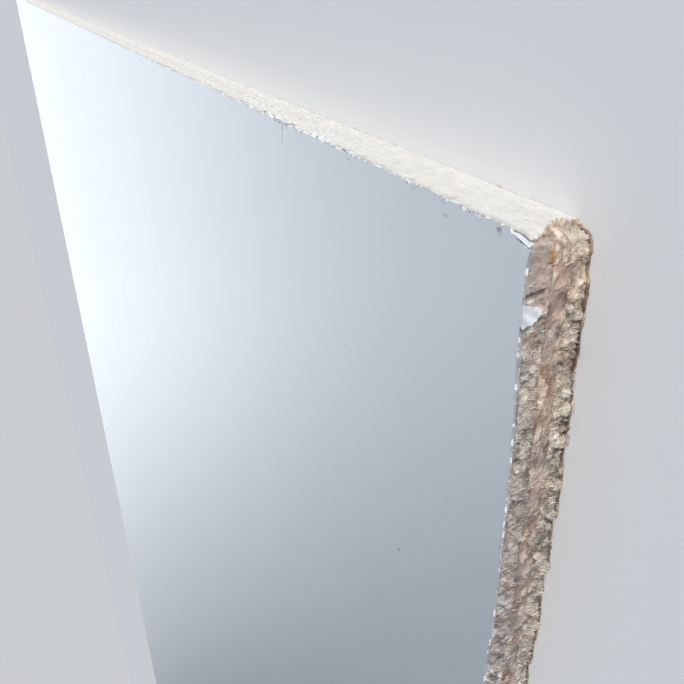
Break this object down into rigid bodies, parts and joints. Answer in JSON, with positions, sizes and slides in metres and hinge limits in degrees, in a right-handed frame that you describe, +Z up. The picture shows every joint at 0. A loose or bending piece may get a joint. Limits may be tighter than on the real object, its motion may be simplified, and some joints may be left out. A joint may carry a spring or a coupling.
{
  "type": "plywood sheet",
  "caption": "Full rectangular sheet of cross-laid wood plies with a thin white laminate on its upper face, chipped edges and one worn corner, lying flat.",
  "frame": {"origin": "middle of the underside, on the surface that the sheet lies on", "axes": "+X along the length and the grain of the face veneers, +Y across the width, +Z up through the plies to the white face"},
  "size_m": [2.44, 1.22, 0.012],
  "materials": {
    "back_veneer": "sanded, unfinished reddish-brown veneer",
    "crossband_wood": "rough saw-cut edge, unfinished",
    "core_wood": "rough saw-cut edge, unfinished",
    "face_wood": "rough saw-cut edge, unfinished",
    "white_laminate": "satin white sheet with a fine texture"
  },
  "bodies": {
    "root": {"back_veneer": "back_veneer", "lower_crossband": "crossband_wood", "core_ply": "core_wood", "upper_crossband": "crossband_wood", "face_veneer": "face_wood", "white_laminate": "white_laminate"}
  },
  "joints": []
}
